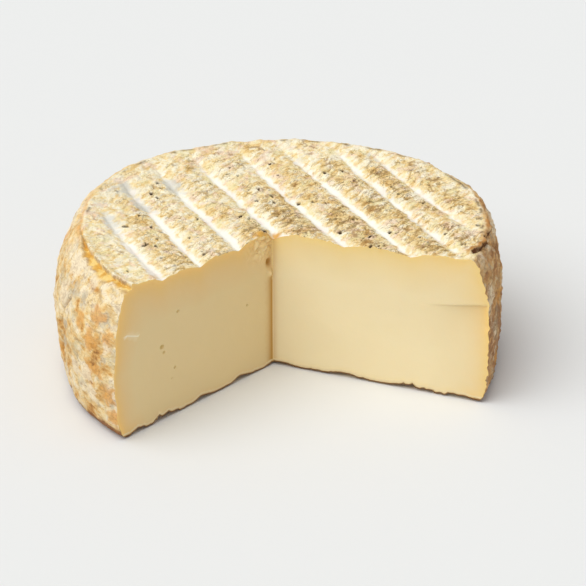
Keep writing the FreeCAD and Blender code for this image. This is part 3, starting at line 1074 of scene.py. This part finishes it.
def maths(operation, first, second=0.0, clamp=False):
    made = put(first.id_data, "ShaderNodeMath", {0: first, 1: second}, operation=operation, use_clamp=clamp)
    return made.outputs[0]


def scaled(value, amount, offset=0.0):
    inputs = {0: value, 1: amount, 2: offset}
    return put(value.id_data, "ShaderNodeMath", inputs, operation="MULTIPLY_ADD").outputs[0]


# A value between 0 and 1 becomes one that swings about 0.
def swing(value, amount):
    return scaled(value, amount, -amount / 2)


def summed(total, *values):
    for value in values:
        total = maths("ADD", total, value)
    return total


def toneRamp(value, stops):
    made = put(value.id_data, "ShaderNodeValToRGB", {"Fac": value})
    while len(made.color_ramp.elements) < len(stops):
        made.color_ramp.elements.new(0.5)
    for element, (position, *tone) in zip(made.color_ramp.elements, stops):
        element.position = position
        element.color = colour(*tone)
    return made.outputs[0]


def onMesh(tree, name):
    return put(tree, "ShaderNodeAttribute", attribute_name=name).outputs["Fac"]


# The patterns are groups of nodes. Their sizes are repeats in a metre.
def newGroup(name, inputs, outputs):
    group = bpy.data.node_groups.new(name, "ShaderNodeTree")
    vector = group.interface.new_socket("Vector", in_out="INPUT", socket_type="NodeSocketVector")
    vector.hide_value = True
    for label, value in inputs:
        group.interface.new_socket(label, in_out="INPUT", socket_type="NodeSocketFloat").default_value = value
    for label in outputs:
        group.interface.new_socket(label, in_out="OUTPUT", socket_type="NodeSocketFloat")
    return group, group.nodes.new("NodeGroupInput").outputs, group.nodes.new("NodeGroupOutput").inputs


def cloud(group, given, detail, roughness=0.5, warp=0.0):
    inputs = {"Vector": given["Vector"], "Scale": given["Size"], "Detail": detail, "Roughness": roughness,
              "Distortion": warp}
    return put(group, "ShaderNodeTexNoise", inputs).outputs


def vectorMaths(group, operation, inputs):
    return put(group, "ShaderNodeVectorMath", inputs, operation=operation).outputs[0]


def makeMottle():
    inputs = [("Size", 100.0), ("Warp", 0.5), ("Low", 0.4), ("High", 0.6)]
    group, given, result = newGroup("mottle", inputs, ["Mask", "Height"])
    tone = cloud(group, given, 3.0, 0.6, given["Warp"])[0]
    group.links.new(window(tone, given["Low"], given["High"]), result["Mask"])
    group.links.new(tone, result["Height"])
    return group


def makeCreases():
    group, given, result = newGroup("creases", [("Size", 300.0), ("Width", 0.05)], ["Mask", "Height"])
    tone = cloud(group, given, 2.5, 0.55, 0.6)[0]
    off = maths("ABSOLUTE", maths("SUBTRACT", tone, 0.5))
    group.links.new(window(off, 0.0, given["Width"], 0.0, 1.0), result["Mask"])
    group.links.new(maths("MULTIPLY", off, 4.0, True), result["Height"])
    return group


def makeFlakes():
    group, given, result = newGroup("flakes", [("Size", 300.0), ("Warp", 0.6)], ["Tone", "Edge"])
    centred = vectorMaths(group, "SUBTRACT", {0: cloud(group, given, 2.0)["Color"], 1: (0.5, 0.5, 0.5)})
    reach = maths("MULTIPLY", maths("DIVIDE", given["Warp"], given["Size"]), 4.0)
    push = vectorMaths(group, "SCALE", {0: centred, "Scale": reach})
    inputs = {"Vector": vectorMaths(group, "ADD", {0: given["Vector"], 1: push}), "Scale": given["Size"]}
    cells = put(group, "ShaderNodeTexVoronoi", inputs)
    parts = put(group, "ShaderNodeSeparateColor", {0: cells.outputs["Color"]})
    group.links.new(parts.outputs[0], result["Tone"])
    edges = put(group, "ShaderNodeTexVoronoi", inputs, feature="DISTANCE_TO_EDGE")
    group.links.new(window(edges.outputs["Distance"], 0.0, 0.16, 0.0, 1.0), result["Edge"])
    return group


mottleGroup = makeMottle()
creaseGroup = makeCreases()
flakeGroup = makeFlakes()


def place(group, vector, **values):
    tree = vector.id_data
    made = put(tree, "ShaderNodeGroup", node_tree=group)
    tree.links.new(vector, made.inputs["Vector"])
    for name, value in values.items():
        made.inputs[name].default_value = value
    return made.outputs


def newMaterial(name):
    material = bpy.data.materials.new(name)
    material.use_nodes = True
    return material, material.node_tree.nodes["Principled BSDF"]


def setBump(shader, height, look):
    inputs = {"Height": height, "Strength": look["bumpStrength"], "Distance": look["bumpDistance"]}
    relief = put(height.id_data, "ShaderNodeBump", inputs)
    height.id_data.links.new(relief.outputs[0], shader.inputs["Normal"])


rind = {
    "stretch": (1.7, 1, 1),   # of the patterns along the ribs
    "bumpStrength": 0.6,
    "bumpDistance": 0.0011,   # metres
    "specular": 0.3,
    "topTones": ((0.0, 180, 136, 76), (0.2, 211, 170, 103), (0.42, 232, 198, 132),
                 (0.62, 243, 217, 160), (0.82, 249, 232, 188), (1.0, 252, 243, 214)),
    "sideTones": ((0.0, 156, 108, 54), (0.2, 204, 147, 78), (0.38, 228, 181, 108),
                  (0.55, 239, 204, 142), (0.75, 246, 220, 166), (1.0, 250, 233, 198)),
    "pink": colour(242, 209, 184),
    "straw": colour(240, 226, 168),
    "crease": colour(140, 108, 62),
    "gap": colour(152, 108, 58),
    "olive": colour(148, 119, 66),
    "speck": colour(96, 66, 34),
    "paintedShade": colour(96, 54, 20),
    "pitShade": colour(58, 36, 16),
    "bloom": colour(249, 246, 233),
    "bloomPink": colour(246, 234, 224),
    "bloomBlue": colour(226, 229, 221),
    "mould": colour(206, 205, 196),
    "orange": colour(230, 166, 82),
    "grey": colour(193, 182, 160),
    "greyGreen": colour(196, 190, 158),
    "pale": colour(248, 230, 196),
    "brown": colour(148, 106, 64),
    "foot": colour(142, 88, 46),
    "bare": colour(220, 168, 72),
    "barePale": colour(240, 208, 128),
    "bareDark": colour(136, 90, 34),
    "rust": colour(186, 128, 62),
    "shaded": colour(182, 136, 104),
    "wax": colour(212, 156, 44),
}


# The top's bands: a broken tone, then faint tints, then thin creases painted dark along the bump's creases,
# then the scales' crevices and the ribs' valleys painted darker (all three painted shade), then specks.
def bandColour(spot, ribbed, brown):
    tree = spot.id_data
    broad = place(mottleGroup, spot, Size=85.0, Low=0.4, High=0.6)
    middle = place(mottleGroup, ribbed, Size=300.0, Low=0.4, High=0.6)
    scales = place(flakeGroup, ribbed, Size=620.0, Warp=0.8)
    blush = place(mottleGroup, spot, Size=150.0, Low=0.52, High=0.66)
    dry = place(mottleGroup, ribbed, Size=175.0, Warp=0.8, Low=0.54, High=0.66)
    veins = place(creaseGroup, ribbed, Size=380.0, Width=0.045)
    thick = place(mottleGroup, spot, Size=110.0, Low=0.42, High=0.62)
    strokes = place(mottleGroup, ribbed, Size=600.0, Low=0.6, High=0.67)
    tone = summed(swing(broad["Height"], 0.9), swing(middle["Height"], 1.5),
                  swing(onMesh(tree, "lumpTone"), 0.3), swing(scales["Tone"], 0.4),
                  scaled(onMesh(tree, "ribLightAndShade"), 0.3), scaled(brown, -0.24, 0.79))
    density = summed(scaled(brown, 0.6), scaled(thick["Mask"], 0.4))
    creases = maths("MULTIPLY", veins["Mask"], scaled(density, 0.8, 0.1), True)
    gapShadeMask = summed(onMesh(tree, "gapShade"), swing(middle["Height"], 0.7))
    lines = summed(onMesh(tree, "ribShadeLine"), swing(thick["Height"], 1.6), scaled(brown, 0.4, -0.15))
    specks = maths("MULTIPLY", strokes["Mask"], scaled(density, 0.85, 0.06), True)
    band = layered(toneRamp(tone, rind["topTones"]), (
        (scaled(blush["Mask"], 0.6), rind["pink"]),
        (scaled(dry["Mask"], 0.6), rind["straw"]),
        (creases, rind["crease"]),
        (window(gapShadeMask, 0.15, 0.95, 0.6), rind["gap"]),
        (window(lines, 0.45, 1.1, 0.6), rind["olive"]),
        (specks, rind["speck"]),
    ))
    height = summed(middle["Height"], scaled(veins["Height"], 0.4), scaled(scales["Edge"], -0.2))
    return band, height, middle


def bloomColour(spot, middle):
    tree = spot.id_data
    tint = place(mottleGroup, spot, Size=75.0, Low=0.44, High=0.62)
    cool = place(mottleGroup, spot, Size=58.0, Low=0.54, High=0.68)
    white = layered(rind["bloom"], (
        (scaled(tint["Mask"], 0.8), rind["bloomPink"]),
        (scaled(cool["Mask"], 0.4), rind["bloomBlue"]),
    ))
    ragged = summed(onMesh(tree, "bloom"), scaled(middle["Height"], 1.25, -0.62),
                    swing(onMesh(tree, "lumpTone"), 0.24))
    return white, window(ragged, 0.16, 0.86, 0.95)


def sideColour(plainSpot):
    tree = plainSpot.id_data
    spot = put(tree, "ShaderNodeMapping", {"Vector": plainSpot, "Scale": (0.9, 0.9, 1.55)}).outputs[0]
    broad = place(mottleGroup, spot, Size=62.0, Low=0.4, High=0.6)
    middle = place(mottleGroup, spot, Size=190.0, Low=0.4, High=0.6)
    scales = place(flakeGroup, spot, Size=480.0, Warp=0.8)
    greyNoise = place(mottleGroup, spot, Size=95.0, Low=0.56, High=0.66)
    veins = place(creaseGroup, spot, Size=210.0, Width=0.035)
    strokes = place(mottleGroup, spot, Size=620.0, Low=0.6, High=0.68)
    # The shade mask darkens the right of the side: painted shade, partly the rind's browner colour.
    shade = onMesh(tree, "shade")
    tone = summed(swing(broad["Height"], 2.1), swing(middle["Height"], 1.5),
                  swing(onMesh(tree, "lumpTone"), 0.26), swing(scales["Tone"], 0.16),
                  onMesh(tree, "flankTone"), scaled(shade, -0.36))
    soft = summed(swing(middle["Height"], 1.5), swing(scales["Tone"], 0.2))
    gapShadeMask = summed(onMesh(tree, "gapShade"), swing(middle["Height"], 0.7))

    def patch(name, low, high, top):
        return window(summed(onMesh(tree, name), soft), low, high, top)

    # The veins' brown lies along the bump's creases and the gaps' brown in the crevices: painted shade. The
    # strokes are the rind's own specks.
    flank = layered(toneRamp(tone, rind["sideTones"]), (
        (scaled(shade, 0.34), rind["shaded"]),
        (scaled(greyNoise["Mask"], 0.4), rind["greyGreen"]),
        (scaled(patch("grey", 0.2, 1.1, 0.75), 0.85), rind["grey"]),
        (patch("orange", 0.2, 1.15, 0.8), rind["orange"]),
        (patch("pale", 0.15, 1.0, 0.85), rind["pale"]),
        (scaled(veins["Mask"], 0.25), rind["brown"]),
        (window(gapShadeMask, 0.15, 0.9, 0.6), rind["brown"]),
        (scaled(strokes["Mask"], 0.45), rind["brown"]),
        (scaled(onMesh(tree, "sideCreaseShade"), 0.6), rind["brown"]),
        (patch("foot", 0.25, 0.8, 0.92), rind["foot"]),
    ))
    height = summed(middle["Height"], scaled(veins["Height"], 0.35), scaled(scales["Edge"], -0.2))
    return flank, height


def rindMaterial():
    material, shader = newMaterial("rind")
    tree = material.node_tree
    spot = put(tree, "ShaderNodeTexCoord").outputs["Object"]
    turned = {"Vector": spot, "Rotation": (0, 0, math.radians(ribs["angle"])), "Scale": rind["stretch"]}
    ribbed = put(tree, "ShaderNodeMapping", turned, vector_type="TEXTURE").outputs[0]
    brown = onMesh(tree, "brown")
    band, bandHeight, middle = bandColour(spot, ribbed, brown)
    white, bloomEdge = bloomColour(spot, middle)
    flank, sideHeight = sideColour(spot)
    mouldy = summed(onMesh(tree, "mould"), swing(middle["Height"], 1.4))
    top = layered(band, (
        (bloomEdge, white),
        (window(mouldy, 0.2, 1.1, 0.75), rind["mould"]),
        (onMesh(tree, "pitShade"), rind["pitShade"]),
    ))
    sideEdge = window(summed(onMesh(tree, "side"), swing(middle["Height"], 1.2)), 0.3, 0.7)
    bareShare = onMesh(tree, "bare")
    waxAndShade = onMesh(tree, "waxAndShade")
    patchy = place(mottleGroup, spot, Size=210.0, Low=0.42, High=0.58)
    skin = layered(top, (
        (sideEdge, flank),
        (onMesh(tree, "rust"), rind["rust"]),
        (bareShare, layered(rind["bare"], ((patchy["Mask"], rind["barePale"]),))),
        (waxAndShade, rind["wax"]),
        (scaled(onMesh(tree, "lipShadeLine"), 0.85), rind["bareDark"]),
        (scaled(onMesh(tree, "rimDark"), 0.75), rind["speck"]),
        (window(onMesh(tree, "crackShade"), 0.12, 0.62), rind["paintedShade"]),
    ))
    tree.links.new(skin, shader.inputs["Base Color"])
    wax = maths("MAXIMUM", bareShare, waxAndShade)
    tree.links.new(scaled(wax, -0.4, 0.78), shader.inputs["Roughness"])
    quiet = scaled(bloomEdge, -0.7, 1.0)
    topHeight = maths("MULTIPLY", bandHeight, maths("MULTIPLY", quiet, scaled(brown, 0.4, 0.7)))
    both = put(tree, "ShaderNodeMix", {0: sideEdge, 2: topHeight, 3: sideHeight}).outputs[0]
    calm = maths("MULTIPLY", both, scaled(wax, -0.6, 1.0))
    setBump(shader, calm, rind)
    shader.inputs["Specular IOR Level"].default_value = rind["specular"]
    return material


paste = {
    "deep": 24.0,   # millimetres from the rind at which the paste has its own colour
    "bumpStrength": 0.35,
    "bumpDistance": 0.0006,   # metres
    "specular": 0.35,
    "subsurface": 0.12,
    "subsurfaceRadius": (1.0, 0.7, 0.35),
    "subsurfaceScale": 0.004,
    "goldAndShadeTones": ((0.0, 250, 206, 124), (0.07, 244, 200, 121), (0.17, 238, 199, 128),
                  (0.32, 235, 200, 138), (0.55, 233, 203, 147), (0.9, 232, 207, 154)),
    "creamTones": ((0.0, 237, 208, 134), (0.07, 239, 212, 144), (0.17, 242, 217, 156),
                   (0.32, 243, 221, 166), (0.55, 244, 225, 176), (0.9, 245, 228, 184)),
    "cloud": colour(238, 214, 162),
    "amber": colour(192, 140, 54),
    "skin": colour(238, 216, 170),
    "eye": colour(206, 176, 106),
    "crust": colour(108, 66, 28),
    "fresh": colour(255, 226, 166),
    "scratch": colour(255, 244, 216),
}


def pasteMaterial():
    material, shader = newMaterial("paste")
    tree = material.node_tree
    spot = put(tree, "ShaderNodeTexCoord").outputs["Object"]
    cloudy = place(mottleGroup, spot, Size=45.0, Low=0.35, High=0.7)
    fine = place(mottleGroup, spot, Size=420.0, Low=0.4, High=0.7)
    wander = summed(onMesh(tree, "rindDepth"), swing(cloudy["Height"], 3.0), swing(fine["Height"], 1.0))
    ripeness = scaled(wander, 1 / paste["deep"])
    skin = summed(onMesh(tree, "skinLine"), swing(fine["Height"], 0.8))
    # Painted shade in the paste: part of the golden tones, the amber by the corner, the crust line and the
    # colour of the eyes.
    body = layered(toneRamp(ripeness, paste["creamTones"]), (
        (onMesh(tree, "goldAndShade"), toneRamp(ripeness, paste["goldAndShadeTones"])),
        (scaled(cloudy["Mask"], 0.12), paste["cloud"]),
        (onMesh(tree, "waxAndShade"), paste["amber"]),
        (onMesh(tree, "fresh"), paste["fresh"]),
        (onMesh(tree, "scratch"), paste["scratch"]),
        (window(skin, 0.35, 0.75, 0.9), paste["skin"]),
        (onMesh(tree, "crustShadeLine"), paste["crust"]),
        (onMesh(tree, "eye"), paste["eye"]),
    ))
    tree.links.new(body, shader.inputs["Base Color"])
    tree.links.new(scaled(cloudy["Height"], 0.3, 0.36), shader.inputs["Roughness"])
    height = summed(scaled(fine["Height"], 0.3), scaled(cloudy["Height"], 0.5))
    setBump(shader, height, paste)
    shader.inputs["Specular IOR Level"].default_value = paste["specular"]
    shader.inputs["Subsurface Weight"].default_value = paste["subsurface"]
    shader.inputs["Subsurface Radius"].default_value = paste["subsurfaceRadius"]
    shader.inputs["Subsurface Scale"].default_value = paste["subsurfaceScale"]
    return material


mesh.materials.append(rindMaterial())
mesh.materials.append(pasteMaterial())
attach(piece, "root")
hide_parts("cheese_wheel")
print("wheel made")

# The floor, the light and the camera.
stage = {
    "floorColour": colour(228, 229, 228),
    "floorRoughness": 0.9,
    "floorReach": 4,   # metres to each side
    "keyAngle": (-72.0, 60.0),   # where the key lamp stands: round from the front, and up
    "keyStrength": 2.1,
    "keySoftness": 62.0,
    "sky": 0.52,
}


def makeFloor():
    reach = stage["floorReach"]
    flat = bpy.data.meshes.new("floor")
    corners = [(-reach, -reach, 0), (reach, -reach, 0), (reach, reach, 0), (-reach, reach, 0)]
    flat.from_pydata(corners, [], [(0, 1, 2, 3)])
    floor = bpy.data.objects.new("floor", flat)
    bpy.context.scene.collection.objects.link(floor)
    material, shader = newMaterial("floor")
    shader.inputs["Base Color"].default_value = stage["floorColour"]
    shader.inputs["Roughness"].default_value = stage["floorRoughness"]
    flat.materials.append(material)


# The way to a lamp or a camera that stands aside from the front by one angle and up by another.
def wayTo(aside, up):
    turn, rise = math.radians(aside), math.radians(up)
    return Vector((math.sin(turn) * math.cos(rise), -math.cos(turn) * math.cos(rise), math.sin(rise)))


def makeLight():
    lamp = bpy.data.lights.new("key", "SUN")
    lamp.energy = stage["keyStrength"]
    lamp.angle = math.radians(stage["keySoftness"])
    key = bpy.data.objects.new("key", lamp)
    key.rotation_euler = wayTo(*stage["keyAngle"]).to_track_quat("Z", "Y").to_euler()
    bpy.context.scene.collection.objects.link(key)
    world = bpy.data.worlds.new("studio")
    world.use_nodes = True
    world.node_tree.nodes["Background"].inputs["Color"].default_value = (1, 1, 1, 1)
    world.node_tree.nodes["Background"].inputs["Strength"].default_value = stage["sky"]
    bpy.context.scene.world = world


camera = {
    "azimuth": -12.6,
    "elevation": 27.97,
    "distance": 1.2,   # metres from where it aims
    "lens": 165.1,
    "right": 9.05,   # where it aims, millimetres from the point of the cut
    "up": 36.4,
}


def makeCamera():
    back = wayTo(camera["azimuth"], camera["elevation"])
    turn = math.radians(camera["azimuth"])
    right = Vector((math.cos(turn), math.sin(turn), 0))
    aim = Vector((*wheel["cutPoint"], 0)) + right * camera["right"] + Vector((0, 0, camera["up"]))
    seen = bpy.data.cameras.new("camera")
    seen.lens = camera["lens"]
    seen.sensor_width = 36
    seen.clip_end = 20
    holder = bpy.data.objects.new("camera", seen)
    holder.location = aim / 1000 + back * camera["distance"]
    holder.rotation_euler = back.to_track_quat("Z", "Y").to_euler()
    bpy.context.scene.collection.objects.link(holder)
    bpy.context.scene.camera = holder


makeFloor()
makeLight()
makeCamera()
bpy.context.scene.view_settings.view_transform = "Standard"
print("stage set")

bpy.context.view_layer.update()
